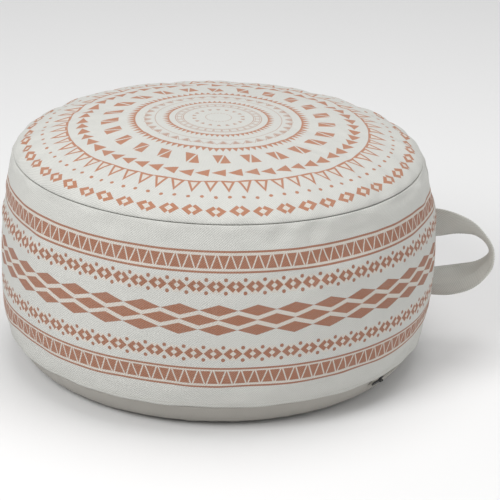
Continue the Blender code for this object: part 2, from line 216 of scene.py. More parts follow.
def sheet_mesh(name, places, map_points, closed_middle=None):
    """A sheet from rows of places, wrapped round the cushion, with its cloth map in metres."""
    rows, columns = places.shape[0], places.shape[1] - 1
    points = [tuple(p) for p in places[:, :columns].reshape(-1, 3)]
    faces = []
    corners = []
    for i in range(rows - 1):
        for j in range(columns):
            k = (j + 1) % columns
            faces.append((i * columns + j, (i + 1) * columns + j, (i + 1) * columns + k, i * columns + k))
            square = ((i, j), (i + 1, j), (i + 1, j + 1), (i, j + 1))
            corners += [map_points[spot] for spot in square]
    if closed_middle is not None:
        row, place, spot = closed_middle
        points.append(tuple(place))
        for j in range(columns):
            k = (j + 1) % columns
            pair = (row * columns + j, row * columns + k)
            ends = [map_points[row, j], map_points[row, j + 1]]
            if row:
                pair = pair[::-1]
                ends = ends[::-1]
            faces.append((len(points) - 1, *pair))
            corners += [spot, *ends]
    mesh = bpy.data.meshes.new(name)
    mesh.from_pydata(points, [], faces)
    layer = mesh.uv_layers.new(name="cloth_map")
    layer.data.foreach_set("uv", np.array(corners).ravel())
    mesh.update()
    thing = bpy.data.objects.new(name, mesh)
    bpy.context.scene.collection.objects.link(thing)
    return thing


def baked(thing, *modifiers):
    """Turns an object's modifiers into plain mesh."""
    for kind, settings in modifiers:
        modifier = thing.modifiers.new(kind.lower(), kind)
        for key, value in settings.items():
            setattr(modifier, key, value)
    graph = bpy.context.evaluated_depsgraph_get()
    mesh = bpy.data.meshes.new_from_object(thing.evaluated_get(graph))
    thing.modifiers.clear()
    old = thing.data
    thing.data = mesh
    bpy.data.meshes.remove(old)
    mesh.name = thing.name
    mesh.shade_smooth()
    return thing


def walled(thing, thickness=CANVAS):
    """Gives a sheet the canvas's own thickness, inwards."""
    return baked(thing, ("SOLIDIFY", {"thickness": thickness, "offset": -1.0}))


def disc_map(distance, angle):
    """Flat cloth places of the round panels, measured from the print's middle."""
    turn = np.radians(angle)
    return np.stack([distance * np.sin(turn), -distance * np.cos(turn)], -1)


def top_grid():
    seam = np.array([TOP_SEAM - 0.0022, TOP_SEAM - 0.0009, TOP_SEAM - 0.0003, TOP_SEAM - 0.0003])
    depth = np.array([0.0, 0.0005, 0.0022, 0.0060])
    rings = np.linspace(0.006, TOP_SEAM - 0.0060, CROWN_RINGS)
    return np.concatenate([rings, seam]), np.concatenate([np.zeros(CROWN_RINGS), depth])


def wall_grid():
    low_seam = np.array([BASE_SEAM - 0.0018, BASE_SEAM - 0.0002, BASE_SEAM + 0.0004, BASE_SEAM - 0.0002])
    top = np.array([TOP_SEAM + 0.0003, TOP_SEAM + 0.0003, TOP_SEAM + 0.0009, TOP_SEAM + 0.0022])
    rings = np.linspace(TOP_SEAM + 0.0060, BASE_SEAM - 0.0050, WALL_RINGS)
    top_depth = np.array([0.0060, 0.0022, 0.0005, 0.0])
    low_depth = np.array([-0.0004, -0.0007, 0.0006, 0.0045])
    depth = np.concatenate([top_depth, np.zeros(WALL_RINGS), low_depth])
    return np.concatenate([top, rings, low_seam]), depth


# ---------------------------------------------------------------- inflating the cover

def inflated(rings, angles, pins):
    """Runs the cloth under air pressure and returns how far each place moved along its own way out."""
    distance, angle = np.meshgrid(rings, angles, indexing="ij")
    start = cover_places(distance, angle, 0.0030 * (1 - pins[:, None]) * np.ones_like(angle))
    form = sheet_mesh("cover_form", start, disc_map(distance, angle), (0, start[0].mean(axis=0), (0.0, 0.0)))
    group = form.vertex_groups.new(name="sewn")
    columns = len(angles) - 1
    for i, weight in enumerate(pins):
        if weight > 0:
            group.add(list(range(i * columns, (i + 1) * columns)), float(weight), "REPLACE")
    cloth = form.modifiers.new("cloth", "CLOTH")
    settings = cloth.settings
    settings.quality = 5
    settings.mass = 0.25
    settings.tension_stiffness = 40
    settings.compression_stiffness = 40
    settings.shear_stiffness = 20
    settings.bending_stiffness = 2.5
    settings.use_pressure = True
    settings.uniform_pressure_force = 4.0
    settings.shrink_min = -0.012
    settings.vertex_group_mass = "sewn"
    settings.effector_weights.gravity = 0.0
    cloth.collision_settings.use_collision = False
    cloth.collision_settings.use_self_collision = False
    cloth.point_cache.frame_start = 1
    cloth.point_cache.frame_end = 20
    scene = bpy.context.scene
    for number in range(1, 21):
        scene.frame_set(number)
    graph = bpy.context.evaluated_depsgraph_get()
    result = form.evaluated_get(graph).to_mesh()
    moved = np.empty(len(result.vertices) * 3)
    result.vertices.foreach_get("co", moved)
    moved = moved.reshape(-1, 3)[: len(rings) * columns].reshape(len(rings), columns, 3)
    bpy.data.objects.remove(form, do_unlink=True)
    scene.frame_set(1)
    return moved - start[:, :columns]


def swelling(rings, angles, pins):
    """The inflated cloth's own unevenness along the way out, even part removed, and capped."""
    shift = inflated(rings, angles, pins)
    distance, angle = np.meshgrid(rings, angles[:-1], indexing="ij")
    out = round_about(out_of_line(distance), angle)
    swell = (shift * out).sum(-1)
    return rounded(np.clip(swell - swell.mean(axis=1, keepdims=True), -SWELL_IN, SWELL_OUT))


def rounded(swell, times=4):
    """The same unevenness on a finer round of angles, curved instead of faceted."""
    count = swell.shape[1]
    waves = np.fft.rfft(swell, axis=1)
    waves *= np.exp(-(np.arange(waves.shape[1]) / 60.0) ** 2)
    fine = np.fft.irfft(waves, count * times, axis=1) * times
    return np.concatenate([fine, fine[:, :1]], axis=1)


def cover_swelling():
    """One run for the whole cover; gives the unevenness at any place of it."""
    rings = np.concatenate([
        np.linspace(0.012, TOP_SEAM, 34),
        np.linspace(TOP_SEAM, BASE_SEAM, 32)[1:],
        np.linspace(BASE_SEAM, LENGTH - 0.06, 16)[1:],
    ])
    pins = np.zeros(len(rings))
    pins[33] = 1.0
    pins[64] = 1.0
    pins[-12:] = 1.0
    angles = spoke_angles(180)
    swell = swelling(rings, angles, pins)
    angles = spoke_angles(swell.shape[1] - 1)

    def at(distance, angle):
        row = np.interp(distance, rings, np.arange(len(rings)))
        column = np.interp(angle, angles, np.arange(len(angles)))
        i = np.minimum(row.astype(int), len(rings) - 2)
        j = np.minimum(column.astype(int), len(angles) - 2)
        a, b = row - i, column - j
        upper = swell[i, j] * (1 - b) + swell[i, j + 1] * b
        lower = swell[i + 1, j] * (1 - b) + swell[i + 1, j + 1] * b
        return upper * (1 - a) + lower * a
    return at


SWELL_AT = cover_swelling()


def cover_grid(rings, depths):
    angles = spoke_angles(SPOKES)
    distance, angle = np.meshgrid(rings, angles, indexing="ij")
    depth = np.repeat(depths[:, None], len(angles), axis=1) - SWELL_AT(distance, angle)
    return distance, angle, cover_places(distance, angle, depth)


def make_top_cover():
    rings, depths = top_grid()
    distance, angle, places = cover_grid(rings, depths)
    marks = disc_map(distance, angle) - np.array(PRINT_MIDDLE)
    middle = places[0].mean(axis=0) + Vector((0, 0, 0.00005))
    spot = tuple(-np.array(PRINT_MIDDLE))
    return walled(sheet_mesh("top_cover", places, marks, (0, middle, spot)))


def make_side_cover():
    rings, depths = wall_grid()
    distance, angle, places = cover_grid(rings, depths)
    marks = np.stack([np.radians(angle) * WIDEST, distance - TOP_SEAM], -1)
    return walled(sheet_mesh("side_cover", places, marks))


def zip_gap(angle):
    """How far past the base seam the base panel starts: wider along the zip."""
    rises = []
    for turned in (angle, angle + 360):
        closed = 1 - smooth(turned, ZIP_TO - 1, ZIP_TO + 2)
        rises.append(smooth(turned, ZIP_FROM - 2, ZIP_FROM + 1) * closed)
    return 0.0012 + (ZIP_OPENING - 0.0012) * np.maximum(*rises)


def make_base_cover():
    angles = spoke_angles(SPOKES)
    inner = LENGTH - BASE_SEAM - 0.004
    share = np.concatenate([[0.0, 0.0, 0.002], np.linspace(0.012, 1.0, BASE_RINGS) ** 1.15])
    depths = np.concatenate([[0.0060, 0.0016, 0.0010], np.full(BASE_RINGS, 0.0006)])
    part, angle = np.meshgrid(share, angles, indexing="ij")
    start = zip_gap(angle)
    distance = BASE_SEAM + start + part * (inner - start)
    swell = SWELL_AT(np.minimum(distance, LENGTH - 0.06), angle)
    depth = np.repeat(depths[:, None], len(angles), axis=1) - 0.5 * swell
    depth = np.where(distance > LENGTH - 0.2145, 0.0, depth)
    places = cover_places(distance, angle, depth)
    places[..., 2] = np.maximum(places[..., 2], 0.0002)
    marks = disc_map(LENGTH - distance, angle)
    middle = (len(share) - 1, np.array((0.0, 0.0, 0.0002)), (0.0, 0.0))
    return walled(sheet_mesh("base_cover", places, marks, middle))


# ---------------------------------------------------------------- small shader language

class Field:
    """A number that varies over a surface, kept as a node's output so that sums can be written plainly."""

    tree = None

    def __init__(self, socket):
        self.socket = socket

    @classmethod
    def math(cls, operation, *values, clamp=False):
        node = cls.tree.nodes.new("ShaderNodeMath")
        node.operation = operation
        node.use_clamp = clamp
        for place, value in zip(node.inputs, values):
            if isinstance(value, Field):
                cls.tree.links.new(value.socket, place)
            else:
                place.default_value = value
        return cls(node.outputs[0])

    def __add__(self, other):
        return Field.math("ADD", self, other)

    def __radd__(self, other):
        return Field.math("ADD", other, self)

    def __sub__(self, other):
        return Field.math("SUBTRACT", self, other)

    def __rsub__(self, other):
        return Field.math("SUBTRACT", other, self)

    def __mul__(self, other):
        return Field.math("MULTIPLY", self, other)

    def __rmul__(self, other):
        return Field.math("MULTIPLY", other, self)

    def __truediv__(self, other):
        return Field.math("DIVIDE", self, other)

    def __abs__(self):
        return Field.math("ABSOLUTE", self)


def both(*values):
    total = values[0]
    for value in values[1:]:
        total = Field.math("MINIMUM", total, value)
    return total


def either(*values):
    total = values[0]
    for value in values[1:]:
        total = Field.math("MAXIMUM", total, value)
    return total


def inked(depth, softness=0.0005):
    """1 where a shape's depth is above zero, with a soft edge."""
    return Field.math("MULTIPLY_ADD", depth, 1.0 / softness, 0.5, clamp=True)


def band(value, middle, half):
    return half - abs(value - middle)


def cell(turn, count, start):
    """Place inside a repeated cell, from -0.5 to 0.5."""
    place = Field.math("MULTIPLY_ADD", turn, count, -start)
    return place - Field.math("ROUND", place)


def new_group(name, inputs, outputs):
    group = bpy.data.node_groups.new(name, "ShaderNodeTree")
    for label, kind, value in inputs:
        socket = group.interface.new_socket(name=label, in_out="INPUT", socket_type=kind)
        if value is not None:
            socket.default_value = value
    for label, kind in outputs:
        group.interface.new_socket(name=label, in_out="OUTPUT", socket_type=kind)
    start = group.nodes.new("NodeGroupInput")
    end = group.nodes.new("NodeGroupOutput")
    Field.tree = group
    return group, start, end


def split_axes(group, socket):
    node = group.nodes.new("ShaderNodeSeparateXYZ")
    group.links.new(socket, node.inputs[0])
    return Field(node.outputs[0]), Field(node.outputs[1]), Field(node.outputs[2])


# ---------------------------------------------------------------- the print

def chevron_pair(across, along, reach, steep, cut, hole):
    """Depth of a diamond made of two facing chevrons, with a square hole and open points."""
    side, rise = abs(across), abs(along)
    outer = (reach - side) * steep - rise
    core = side * steep + rise - hole
    notch = hole + 0.0002 + side * 1.05 - rise
    return both(outer, core, notch, cut - rise)


def saw_ring(radius, turn, count, base, tip, line):
    """A ring line with teeth that point outwards."""
    pitch = math.tau * base / count
    side = abs(cell(turn, count, 0.0)) * (math.tau / count) * radius
    tooth = (tip - radius) * (0.5 * pitch / (tip - base)) - side
    return either(both(tooth, radius - base), band(radius, base, line))


def across_cell(turn, arc, count, start):
    """Place across a repeated cell of a ring, in metres from the cell's middle."""
    return cell(turn, count, start) * arc * (1 / count)


def middle_rings(radius, turn, arc):
    """Fine dashes, beads and a ring of bricks round the middle."""
    dashes = both(band(radius, 0.0155, 0.00055), 0.0013 - abs(across_cell(turn, arc, 24, 0.3)))
    bead_side = abs(across_cell(turn, arc, 18, 0.1))
    beads = both(band(radius, 0.0292, 0.0023), 0.0012 + (radius - 0.0268) * 0.32 - bead_side)
    circles = either(band(radius, 0.0420, 0.00055), band(radius, 0.0514, 0.00055))
    brick_side = abs(across_cell(turn, arc, 30, 0.0))
    brick_edge = either(band(radius, 0.0440, 0.0003), band(radius, 0.0494, 0.0003))
    bricks = both(either(band(brick_side, 0.0043, 0.0005), brick_edge), band(radius, 0.0467, 0.0034))
    return either(dashes, beads, circles, bricks)


def collar_rings(radius, turn, arc):
    """A thin ring, fine outlined teeth and the wedges between them."""
    thin = band(radius, 0.0757, 0.0004)
    vee_side = abs(across_cell(turn, arc, 36, 0.0))
    vee = both(band(vee_side + (radius - 0.0795) * 0.72, 0.0072, 0.00055), band(radius, 0.0850, 0.0050))
    wedges = both((radius - 0.0806) * 0.62 - abs(across_cell(turn, arc, 36, 0.5)), 0.0886 - radius)
    return either(thin, vee, wedges)


def figure_rings(radius, turn, arc):
    """Two saw rings, the cut tiles, the triangles that chase each other, and the ring round them."""
    saw_small = saw_ring(radius, turn, 64, 0.0597, 0.0670, 0.0008)
    saw_large = saw_ring(radius, turn, 88, 0.1003, 0.1098, 0.0010)
    pair = across_cell(turn, arc, 24, 0.167)
    deep = radius - 0.1195
    left = both(pair + 0.0096 - deep * 0.27, 0.0029 - deep * 0.32 - pair)
    right = both(pair - 0.0045 + deep * 0.27, 0.0045 + deep * 0.33 - pair)
    pairs = both(either(left, right), band(deep, 0.0105, 0.0105))
    chase = across_cell(turn, arc, 54, -0.80)
    chasing = both((chase + 0.0083) * 0.48 - abs(radius - 0.1632), 0.0083 - chase)
    return either(saw_small, saw_large, pairs, chasing, band(radius, 0.1812, 0.0008))


def spike_ring(radius, turn, arc):
    """The light cores and the inked outlines of the outer ring's spikes."""
    side = abs(across_cell(turn, arc, 60, -0.217))
    spike = both((0.2035 - radius) * 0.375 - side, radius - 0.1808)
    core = both((0.1965 - radius) * 0.335 - side, radius - 0.1836)
    return core, both(spike, 0.0 - core)


def dot_ring(radius, turn, arc):
    side = across_cell(turn, arc, 84, 0.13)
    rise = radius - 0.2115
    return 0.0023 - Field.math("SQRT", side * side + rise * rise)


def top_print_group():
    """The round panel's print, ring by ring from the middle outwards."""
    group, start, end = new_group(
        "round_medallion_print",
        [("Cloth Map", "NodeSocketVector", None)],
        [("Ink", "NodeSocketFloat"), ("Fine Ink", "NodeSocketFloat"), ("Cream", "NodeSocketFloat")],
    )
    x, y, _ = split_axes(group, start.outputs[0])
    radius = Field.math("SQRT", x * x + y * y)
    turn = Field.math("ARCTAN2", x, 0.0 - y) * (1.0 / math.tau)
    arc = radius * math.tau

    cores, spikes = spike_ring(radius, turn, arc)
    diamond_side = across_cell(turn, arc, 54, 0.10)
    diamonds = chevron_pair(diamond_side, radius - 0.2328, 0.0123, 0.80, 0.0086, 0.0040)
    hearts = both(0.0042 - abs(diamond_side), band(radius, 0.2328, 0.0042))
    strong = either(figure_rings(radius, turn, arc), spikes, dot_ring(radius, turn, arc), diamonds)
    fine = either(middle_rings(radius, turn, arc), collar_rings(radius, turn, arc))
    group.links.new(inked(strong).socket, end.inputs[0])
    group.links.new(inked(fine).socket, end.inputs[1])
    group.links.new(inked(either(cores, hearts)).socket, end.inputs[2])
    return group


def triangle_row(angle, down, low, high, start):
    """A solid band cut into triangles by a light zigzag."""
    place = abs(cell(angle, 1 / TRIANGLE_PITCH, start / TRIANGLE_PITCH))
    level = (down - low) * (1 / (high - low))
    zigzag = abs(place - (level * 0.35 + 0.075)) - 0.052
    return both(band(down, (low + high) / 2, (high - low) / 2), zigzag * 0.015)


def diamond_chain(angle, down, middle, start):
    """Linked chevron diamonds with a dot above and below each link, and their light outline."""
    width = CHAIN_PITCH * ARC_PER_DEGREE
    across = cell(angle, 1 / CHAIN_PITCH, start / CHAIN_PITCH) * width
    along = down - middle
    diamonds = chevron_pair(across, along, 0.0109, 0.90, 0.0071, 0.0034)
    link = cell(angle, 1 / CHAIN_PITCH, start / CHAIN_PITCH + 0.5) * width
    lift = abs(along) - 0.0078
    dots = 0.0023 - Field.math("SQRT", link * link + lift * lift)
    rim = (0.0109 - abs(across)) * 0.90 - abs(along)
    light = both(rim + 0.0022, 0.0084 - abs(along))
    return either(diamonds, dots), light


def long_diamonds(angle, down, middle, start):
    """A row of long rhombi."""
    across = abs(cell(angle, 1 / LONG_PITCH, start / LONG_PITCH)) * (LONG_PITCH * ARC_PER_DEGREE)
    return (0.0221 - across) * 0.302 - abs(down - middle)


def side_print_group():
    """The band's print: bordered triangles and diamond chains above and below rows of long rhombi."""
    group, start, end = new_group(
        "banded_border_print",
        [("Cloth Map", "NodeSocketVector", None)],
        [("Ink", "NodeSocketFloat"), ("Cream", "NodeSocketFloat")],
    )
    along, down, _ = split_axes(group, start.outputs[0])
    angle = along * (180.0 / math.pi / WIDEST)
    lines = either(band(down, 0.0300, 0.0012), band(down, 0.0530, 0.0012))
    lines = either(lines, band(down, 0.1683, 0.0012), band(down, 0.1918, 0.0012))
    upper = triangle_row(angle, down, 0.0342, 0.0491, -9.44)
    lower = triangle_row(angle, down, 0.1715, 0.1877, -3.06)
    first, first_light = diamond_chain(angle, down, 0.0696, 0.89)
    second, second_light = diamond_chain(angle, down, 0.1495, 0.50)
    rows = either(long_diamonds(angle, down, 0.0973, 1.67), long_diamonds(angle, down, 0.1088, 6.40))
    rows = either(rows, long_diamonds(angle, down, 0.1203, 1.45))
    ink = either(lines, upper, lower, first, second, rows)
    trims = either(band(down, 0.0415, 0.0112), band(down, 0.1800, 0.0114))
    cream = either(trims, first_light, second_light, band(down, 0.1088, 0.0095))
    group.links.new(inked(ink, 0.0006).socket, end.inputs[0])
    group.links.new(inked(cream, 0.0008).socket, end.inputs[1])
    return group


# ---------------------------------------------------------------- finishes

def weave_group():
    """Diagonal canvas weave: ribs that cross finer threads, in metres of cloth."""
    group, start, end = new_group(
        "diagonal_weave",
        [("Cloth Map", "NodeSocketVector", None), ("Rib Pitch", "NodeSocketFloat", 0.0018)],
        [("Rib", "NodeSocketFloat"), ("Height", "NodeSocketFloat"), ("Fleck", "NodeSocketFloat")],
    )
    x, y, _ = split_axes(group, start.outputs[0])
    pitch = Field(start.outputs[1])
    swirl = group.nodes.new("ShaderNodeTexNoise")
    swirl.inputs["Scale"].default_value = 60.0
    swirl.inputs["Detail"].default_value = 1.0
    group.links.new(start.outputs[0], swirl.inputs["Vector"])
    drift = Field(swirl.outputs["Fac"])
    rib_place = (x * 0.66 + y * 0.75) / pitch + drift * 0.9
    rib = Field.math("SINE", rib_place * math.tau)
    cross = Field.math("SINE", (x * 0.75 - y * 0.66) / pitch * (math.tau * 1.35))
    fine = group.nodes.new("ShaderNodeTexNoise")
    fine.inputs["Scale"].default_value = 900.0
    fine.inputs["Detail"].default_value = 2.0
    group.links.new(start.outputs[0], fine.inputs["Vector"])
    fleck = Field(fine.outputs["Fac"])
    rib_level = rib * 0.5 + 0.5
    height = rib_level * 0.70 + (cross * 0.5 + 0.5) * 0.30 + fleck * 0.15
    group.links.new(rib_level.socket, end.inputs[0])
    group.links.new(height.socket, end.inputs[1])
    group.links.new(fleck.socket, end.inputs[2])
    return group


def ageing_and_low_shade_group():
    """Slow changes of tone over a piece, and a mask for painted shade that darkens the cloth towards the
    bottom.
    """
    group, start, end = new_group(
        "soft_ageing_and_low_shade",
        [("Place", "NodeSocketVector", None), ("Size", "NodeSocketFloat", 6.0)],
        [("Tone", "NodeSocketFloat"), ("Patches", "NodeSocketFloat"), ("Low", "NodeSocketFloat")],
    )
    slow = group.nodes.new("ShaderNodeTexNoise")
    slow.inputs["Detail"].default_value = 3.0
    slow.inputs["Roughness"].default_value = 0.55
    group.links.new(start.outputs[0], slow.inputs["Vector"])
    group.links.new(start.outputs[1], slow.inputs["Scale"])
    quick = group.nodes.new("ShaderNodeTexNoise")
    quick.inputs["Scale"].default_value = 70.0
    quick.inputs["Detail"].default_value = 4.0
    group.links.new(start.outputs[0], quick.inputs["Vector"])
    _, _, z = split_axes(group, start.outputs[0])
    # Painted shade mask: 0.75 at the floor, fading to 0 about 5 cm up
    low = Field.math("MULTIPLY_ADD", z, -16.0, 0.75, clamp=True)
    group.links.new(slow.outputs["Fac"], end.inputs[0])
    group.links.new(quick.outputs["Fac"], end.inputs[1])
    group.links.new(low.socket, end.inputs[2])
    return group


PRINT_TOP = top_print_group()
PRINT_SIDE = side_print_group()
WEAVE = weave_group()
AGEING_AND_LOW_SHADE = ageing_and_low_shade_group()


class Finish:
    """A material under construction."""

    def __init__(self, name, roughness=0.8):
        self.material = bpy.data.materials.new(name)
        self.material.use_nodes = True
        self.tree = self.material.node_tree
        self.shader = self.tree.nodes["Principled BSDF"]
        self.shader.inputs["Roughness"].default_value = roughness
        Field.tree = self.tree

    def node(self, kind, **values):
        node = self.tree.nodes.new(kind)
        for key, value in values.items():
            setattr(node, key, value)
        return node

    def link(self, a, b):
        self.tree.links.new(a, b)

    def group(self, tree, **inputs):
        node = self.node("ShaderNodeGroup", node_tree=tree)
        for key, value in inputs.items():
            socket = node.inputs[key.replace("_", " ")]
            if isinstance(value, (int, float)):
                socket.default_value = value
            else:
                self.link(value, socket)
        return node

    def place(self):
        return self.node("ShaderNodeTexCoord").outputs["Object"]

    def cloth_map(self):
        return self.node("ShaderNodeUVMap", uv_map="cloth_map").outputs[0]

    def mix(self, share, a, b):
        node = self.node("ShaderNodeMix", data_type="RGBA", blend_type="MIX")
        if isinstance(share, Field):
            share = share.socket
        if isinstance(share, (int, float)):
            node.inputs[0].default_value = share
        else:
            self.link(share, node.inputs[0])
        for value, socket in ((a, node.inputs[6]), (b, node.inputs[7])):
            if isinstance(value, tuple):
                socket.default_value = (*value, 1.0)
            else:
                self.link(value, socket)
        return node.outputs[2]

    def brighten(self, colour, amount):
        """Multiplies a colour by a varying number."""
        node = self.node("ShaderNodeVectorMath", operation="SCALE")
        if isinstance(colour, tuple):
            node.inputs[0].default_value = colour
        else:
            self.link(colour, node.inputs[0])
        self.link(amount.socket, node.inputs["Scale"])
        return node.outputs[0]

    def bump(self, height, distance, strength=1.0, under=None):
        node = self.node("ShaderNodeBump")
        node.inputs["Strength"].default_value = strength
        node.inputs["Distance"].default_value = distance
        self.link(height.socket if isinstance(height, Field) else height, node.inputs["Height"])
        if under is not None:
            self.link(under, node.inputs["Normal"])
        return node.outputs["Normal"]

    def wear(self, colour, roughness=None, normal=None):
        self.link(colour, self.shader.inputs["Base Color"])
        if roughness is not None:
            self.link(roughness.socket, self.shader.inputs["Roughness"])
        if normal is not None:
            self.link(normal, self.shader.inputs["Normal"])
        return self.material


CLOTH = (0.600, 0.600, 0.566)
CREAM = (0.640, 0.585, 0.520)
TERRACOTTA = (0.420, 0.165, 0.080)
DEEP_TERRACOTTA = (0.325, 0.124, 0.064)
FINE_BROWN = (0.420, 0.235, 0.165)
# Dark colour mixed in low down as painted shade
PAINTED_LOW_SHADE = (0.300, 0.285, 0.250)


def printed_cloth(name, cloth, ink_colour=None, print_tree=None, fine=False):
    """Canvas with its weave, flecks and wear, painted shade darkening it towards the floor, and a print
    where one is given.
    """
    finish = Finish(name, 0.86)
    marks = finish.cloth_map()
    weave = finish.group(WEAVE, Cloth_Map=marks, Rib_Pitch=0.0021)
    age = finish.group(AGEING_AND_LOW_SHADE, Place=finish.place(), Size=5.0)
    rib, height, fleck = (Field(s) for s in weave.outputs)
    tone, patches, low = (Field(s) for s in age.outputs)
    colour = cloth
    if print_tree is not None:
        stamp = finish.group(print_tree, Cloth_Map=marks)
        cream = Field(stamp.outputs["Cream"]) * 0.75
        colour = finish.mix(cream, cloth, CREAM)
        worn = rib * 0.22 + fleck * 0.44 + patches * 0.16 + 0.48
        cover = Field.math("MULTIPLY", Field(stamp.outputs["Ink"]), worn, clamp=True)
        colour = finish.mix(cover, colour, ink_colour)
        if fine:
            thin = Field.math("MULTIPLY", Field(stamp.outputs["Fine Ink"]), worn * 0.85, clamp=True)
            colour = finish.mix(thin, colour, FINE_BROWN)
    level = 0.84 + rib * 0.19 + (fleck - 0.5) * 0.26 + (tone - 0.5) * 0.12 + (patches - 0.5) * 0.06
    colour = finish.brighten(colour, level)
    # Painted shade: the cloth is mixed towards a dark colour near the floor, standing in for the shade low
    # on the cushion
    colour = finish.mix(low * 0.35, colour, PAINTED_LOW_SHADE)
    roughness = 0.80 + fleck * 0.14
    normal = finish.bump(height, 0.0004, 0.9)
    finish.shader.inputs["Sheen Weight"].default_value = 0.12
    finish.shader.inputs["Sheen Roughness"].default_value = 0.5
    finish.shader.inputs["Specular IOR Level"].default_value = 0.25
    return finish.wear(colour, roughness, normal)


TOP_CLOTH = printed_cloth("printed_canvas_top", CLOTH, TERRACOTTA, PRINT_TOP, fine=True)
SIDE_CLOTH = printed_cloth("printed_canvas_band", CLOTH, DEEP_TERRACOTTA, PRINT_SIDE)
# The base is the same plain canvas as the strap, given a darker colour as painted shade for the shaded
# underside
BASE_CLOTH_PAINTED_SHADE = printed_cloth("plain_canvas_base_painted_shade", (0.430, 0.410, 0.375))
STRAP_CLOTH = printed_cloth("plain_canvas_strap", (0.610, 0.610, 0.570))


def aged(name, roughness, size):
    """A new finish with its place on the piece, its changes of tone and its patches."""
    finish = Finish(name, roughness)
    spot = finish.place()
    age = finish.group(AGEING_AND_LOW_SHADE, Place=spot, Size=size)
    return finish, spot, Field(age.outputs["Tone"]), Field(age.outputs["Patches"])


def woven_tape():
    finish, spot, tone, patches = aged("woven_tape", 0.85, 9.0)
    weave = finish.group(WEAVE, Cloth_Map=spot, Rib_Pitch=0.0009)
    rib, height, fleck = (Field(s) for s in weave.outputs)
    colour = finish.mix(rib, (0.36, 0.34, 0.30), (0.46, 0.44, 0.39))
    colour = finish.brighten(colour, 0.82 + tone * 0.2 + fleck * 0.14)
    return finish.wear(colour, 0.78 + patches * 0.16, finish.bump(height, 0.0002, 0.8))


def satin_label():
    finish, spot, tone, _ = aged("satin_label", 0.45, 20.0)
    weave = finish.group(WEAVE, Cloth_Map=spot, Rib_Pitch=0.0006)
    rib, height, fleck = (Field(s) for s in weave.outputs)
    colour = finish.mix(rib, (0.74, 0.74, 0.71), (0.82, 0.82, 0.79))
    colour = finish.brighten(colour, 0.9 + tone * 0.16)
    return finish.wear(colour, 0.34 + fleck * 0.2, finish.bump(height, 0.00008, 0.6))


def vinyl_film():
    finish, spot, tone, patches = aged("grey_vinyl_film", 0.4, 12.0)
    grain = finish.node("ShaderNodeTexNoise")
    grain.inputs["Scale"].default_value = 420.0
    finish.link(spot, grain.inputs["Vector"])
    wrinkle = finish.node("ShaderNodeTexVoronoi", feature="SMOOTH_F1")
    wrinkle.inputs["Scale"].default_value = 34.0
    finish.link(spot, wrinkle.inputs["Vector"])
    colour = finish.mix(tone, (0.27, 0.29, 0.32), (0.37, 0.39, 0.42))
    colour = finish.brighten(colour, 0.85 + patches * 0.25)
    soft = finish.bump(wrinkle.outputs["Distance"], 0.0016, 0.35)
    fine = finish.bump(grain.outputs["Fac"], 0.0001, 0.6, under=soft)
    return finish.wear(colour, 0.30 + patches * 0.25, fine)


def moulded_stopper():
    finish, _, tone, patches = aged("moulded_soft_vinyl", 0.35, 40.0)
    colour = finish.mix(tone, (0.50, 0.54, 0.57), (0.62, 0.65, 0.67))
    return finish.wear(colour, 0.26 + patches * 0.22, finish.bump(patches, 0.0002, 0.5))


def nylon():
    finish, _, tone, patches = aged("dyed_nylon", 0.5, 60.0)
    colour = finish.mix(tone, (0.34, 0.32, 0.28), (0.44, 0.42, 0.37))
    return finish.wear(colour, 0.38 + patches * 0.2, finish.bump(patches, 0.0001, 0.5))


def nylon_thread():
    finish, spot, tone, patches = aged("sewing_thread", 0.7, 30.0)
    twist = finish.node("ShaderNodeTexWave")
    twist.inputs["Scale"].default_value = 700.0
    finish.link(spot, twist.inputs["Vector"])
    colour = finish.mix(tone, (0.40, 0.39, 0.35), (0.56, 0.55, 0.50))
    return finish.wear(colour, 0.6 + patches * 0.2, finish.bump(twist.outputs["Fac"], 0.0001, 0.6))


def black_lacquer():
    finish, spot, tone, patches = aged("black_lacquer", 0.35, 150.0)
    scratch = finish.node("ShaderNodeTexNoise")
    scratch.inputs["Scale"].default_value = 900.0
    scratch.inputs["Detail"].default_value = 3.0
    finish.link(spot, scratch.inputs["Vector"])
    rub = Field.math("MULTIPLY_ADD", Field(scratch.outputs["Fac"]), 6.0, -3.9, clamp=True)
    colour = finish.mix(rub * 0.6, (0.012, 0.012, 0.013), (0.16, 0.15, 0.14))
    finish.shader.inputs["Coat Roughness"].default_value = 0.2
    return finish.wear(colour, 0.24 + patches * 0.3 + tone * 0.05, finish.bump(patches, 0.0001, 0.4))


TAPE = woven_tape()
LABEL = satin_label()
VINYL = vinyl_film()
STOPPER = moulded_stopper()
NYLON = nylon()
LACQUER = black_lacquer()


def coat(names, material):
    for name in names:
        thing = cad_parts[name]
        for place in thing.material_slots:
            place.material = material


coat(["top_seam_binding", "base_seam_binding", "join_seam_binding", "handle_patch"], TAPE)
coat(["zip_tape_upper", "zip_tape_lower", "zip_end_tab"], TAPE)
coat(["care_label"], LABEL)
coat(["zip_stop_start", "zip_stop_end"], NYLON)
coat(["zip_slider", "zip_pull"], LACQUER)
coat(["bladder_top_sheet", "bladder_side_wall", "bladder_base_sheet", "bladder_top_weld"], VINYL)
coat(["bladder_base_weld", "tie_ring_top", "tie_ring_base", "valve_flange", "valve_body"], VINYL)
coat(["tie_band_%d" % k for k in range(1, 5)], VINYL)
coat(["valve_flap", "valve_plug"], STOPPER)


# ---------------------------------------------------------------- covers in place

def dress(thing, material, node):
    thing.data.materials.clear()
    thing.data.materials.append(material)
    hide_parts(node)
    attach(thing, "cushion")


dress(make_top_cover(), TOP_CLOTH, "top_panel")
dress(make_side_cover(), SIDE_CLOTH, "side_band")
dress(make_base_cover(), BASE_CLOTH_PAINTED_SHADE, "bottom_panel")


# ---------------------------------------------------------------- carry strap

STRAP_TOP = 0.1695
STRAP_FOOT = 0.0925
STRAP_ROOT = 0.2672
STRAP_REACH = 0.068
STRAP_SUNK = 0.005
STRAP_WIDTH = 0.037
STRAP_STEPS = 72
STRAP_CUP = 0.0035


